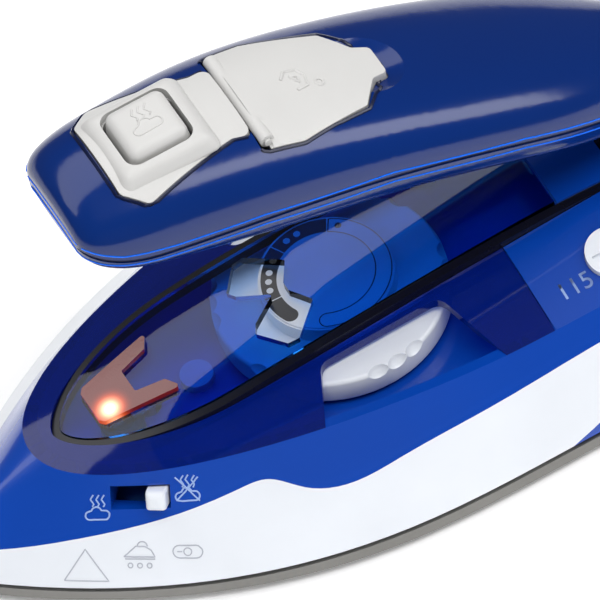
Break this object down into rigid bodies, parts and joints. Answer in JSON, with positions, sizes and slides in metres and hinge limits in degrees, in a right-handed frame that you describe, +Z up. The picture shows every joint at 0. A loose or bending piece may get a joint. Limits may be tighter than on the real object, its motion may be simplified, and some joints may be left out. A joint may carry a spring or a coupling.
{
  "type": "clothes iron",
  "caption": "Compact steam iron with a folding water-tank handle, temperature dial under a tinted window, steam lever, voltage selector and pointed soleplate.",
  "frame": {"origin": "centre of the bounding box on the soleplate's underside", "axes": "+Z up from the soleplate, nose towards -X, heel and cord inlet towards +X, steam lever side towards -Y"},
  "size_m": [0.202, 0.0848, 0.0904],
  "materials": {
    "royal_blue": "gloss",
    "tank_blue": "gloss",
    "window_tint": "gloss",
    "navy_tint": "gloss",
    "white_gloss": "satin",
    "white_soft": "matte",
    "black_rubber": "matte",
    "seal_silicone": "matte",
    "sole_grey": "satin",
    "cast_alloy": "cast",
    "steel": "brushed",
    "brass": "machined",
    "dark_plastic": "matte",
    "red_lens": "gloss",
    "lamp_glass": "clear",
    "print_grey": "print"
  },
  "bodies": {
    "base": {"soleplate": "sole_grey", "steam_chamber": "cast_alloy", "heating_element": "steel", "chamber_gasket": "seal_silicone", "chamber_cover": "steel", "heat_shield": "dark_plastic", "skirt": "white_gloss", "heel_block": "royal_blue", "body_shell": "royal_blue", "cover_wall": "navy_tint", "cover_gasket": "black_rubber", "cover_window": "window_tint", "indicator_lens": "red_lens", "rear_deck": "royal_blue", "lamp_holder": "dark_plastic", "indicator_lamp": "lamp_glass", "thermostat_base": "dark_plastic", "thermostat_bush": "brass", "valve_body": "brass", "voltage_switch_body": "dark_plastic", "terminal_block": "white_soft", "thermal_fuse": "white_soft", "cord_inlet": "black_rubber", "cord_clamp": "dark_plastic", "pivot_pin": "steel", "pivot_cap": "royal_blue", "shell_screws": "steel"},
    "handle": {"handle_upper": "tank_blue", "handle_lower": "tank_blue", "handle_seal": "seal_silicone", "button_surround": "white_soft", "fill_neck": "white_soft", "lid_pin": "steel", "pump_cylinder": "white_soft", "pump_spring": "steel", "feed_pipe": "white_soft"},
    "button": {"steam_button": "white_soft", "pump_piston": "white_soft"},
    "lid": {"fill_lid": "white_soft", "lid_seal": "seal_silicone"},
    "dial": {"dial_wheel": "white_gloss", "dial_scale": "print_grey", "thermostat_spindle": "steel"},
    "lever": {"steam_lever": "white_gloss"},
    "needle": {"valve_needle": "steel"},
    "selector": {"voltage_selector": "white_gloss"},
    "fold_lock": {"fold_lock_button": "white_soft"}
  },
  "joints": [
    {"name": "handle_fold", "type": "hinge", "parent": "base", "child": "handle", "pos_m": [0.062, 0, 0.033], "axis": [0, -1, 0], "range_deg": [0, 18]},
    {"name": "steam_button_press", "type": "slide", "parent": "handle", "child": "button", "axis": [0, 0, -1], "range_m": [0, 0.003], "stiffness_N_per_m": 350, "springref_m": -0.002, "deforming": ["pump_spring"]},
    {"name": "fill_lid_open", "type": "hinge", "parent": "handle", "child": "lid", "pos_m": [-0.0231, 0, 0.0825], "axis": [0, -1, 0], "range_deg": [0, 80]},
    {"name": "dial_turn", "type": "hinge", "parent": "base", "child": "dial", "pos_m": [-0.0155, 0, 0.02], "axis": [0, 0, 1], "range_deg": [-30, 240]},
    {"name": "steam_lever_slide", "type": "slide", "parent": "base", "child": "lever", "axis": [-0.7986, 0.6018, 0], "range_m": [0, 0.006]},
    {"name": "valve_needle_lift", "type": "slide", "parent": "base", "child": "needle", "axis": [0, 0, 1], "range_m": [0, 0.0015]},
    {"name": "voltage_selector_turn", "type": "hinge", "parent": "base", "child": "selector", "pos_m": [0.0285, -0.0236, 0.0242], "axis": [0, -0.2756, 0.9613], "range_deg": [0, 90]},
    {"name": "fold_lock_press", "type": "slide", "parent": "base", "child": "fold_lock", "axis": [0, 1, 0], "range_m": [0, 0.002], "stiffness_N_per_m": 300, "springref_m": -0.002}
  ],
  "couplings": [
    {"joint": "valve_needle_lift", "follows": "steam_lever_slide", "ratio": 0.25}
  ]
}
